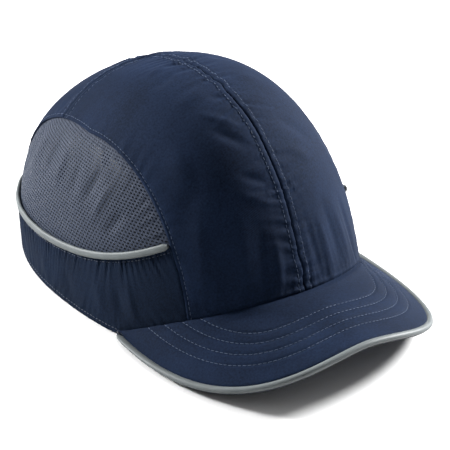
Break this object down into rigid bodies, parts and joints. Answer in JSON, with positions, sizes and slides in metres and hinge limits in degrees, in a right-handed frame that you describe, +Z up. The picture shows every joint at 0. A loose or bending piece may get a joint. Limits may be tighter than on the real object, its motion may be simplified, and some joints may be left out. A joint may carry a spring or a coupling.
{
  "type": "bump cap",
  "caption": "Soft cap with a curved visor and mesh side panels, lined with a removable vented plastic shell on foam pads, closed at the back by a hook-and-loop strap.",
  "frame": {"origin": "under the middle of the cap's bounding box, level with the flat rim of the sides", "axes": "+Z up, the visor points to -Y, the wearer's left is +X; the longest extent is along Y"},
  "size_m": [0.1774, 0.2876, 0.13],
  "materials": {
    "navy_fabric": "navy twill-woven polyester and cotton, matt",
    "side_mesh": "grey-blue perforated knitted mesh, slightly shiny yarn",
    "reflective_piping": "silver-grey retroreflective piping, satin",
    "visor_board": "flexible black plastic board",
    "sweatband_fabric": "dark navy terry cotton",
    "seam_tape": "navy woven tape",
    "abs_shell": "black moulded plastic, fine grain",
    "eva_foam": "dark grey closed-cell foam, matt",
    "hook_and_loop": "near-black hook-and-loop tape, matt",
    "label_fabric": "plain off-white woven label, blank"
  },
  "bodies": {
    "cap": {"front_panel_left": "navy_fabric", "front_panel_right": "navy_fabric", "rear_panel_left": "navy_fabric", "rear_panel_right": "navy_fabric", "mesh_panel_left": "side_mesh", "mesh_panel_right": "side_mesh", "side_band_left": "navy_fabric", "side_band_right": "navy_fabric", "side_piping_left": "reflective_piping", "side_piping_right": "reflective_piping", "front_seam_tape": "seam_tape", "rear_seam_tape": "seam_tape", "side_seam_tape_left": "seam_tape", "side_seam_tape_right": "seam_tape", "arch_tape_left": "seam_tape", "arch_tape_right": "seam_tape", "sweatband": "sweatband_fabric", "size_label": "label_fabric", "visor_board": "visor_board", "visor_top_cover": "navy_fabric", "visor_under_cover": "navy_fabric", "visor_piping": "reflective_piping", "opening_binding": "navy_fabric", "loop_strap": "navy_fabric", "loop_pad": "hook_and_loop", "crown_loop_patch": "hook_and_loop"},
    "closure_strap": {"hook_strap": "navy_fabric", "hook_pad": "hook_and_loop"},
    "insert": {"bump_shell": "abs_shell", "foam_pad_front": "eva_foam", "foam_pad_crown": "eva_foam", "foam_pad_left": "eva_foam", "foam_pad_right": "eva_foam", "foam_pad_rear": "eva_foam", "insert_hook_patch": "hook_and_loop"}
  },
  "joints": [
    {"name": "closure_peel", "type": "hinge", "parent": "cap", "child": "closure_strap", "pos_m": [-0.0273, 0.1395, 0.0155], "axis": [0, 0, 1], "range_deg": [0, 100]},
    {"name": "insert_lift_out", "type": "slide", "parent": "cap", "child": "insert", "axis": [0, 0, -1], "range_m": [0, 0.16]}
  ]
}
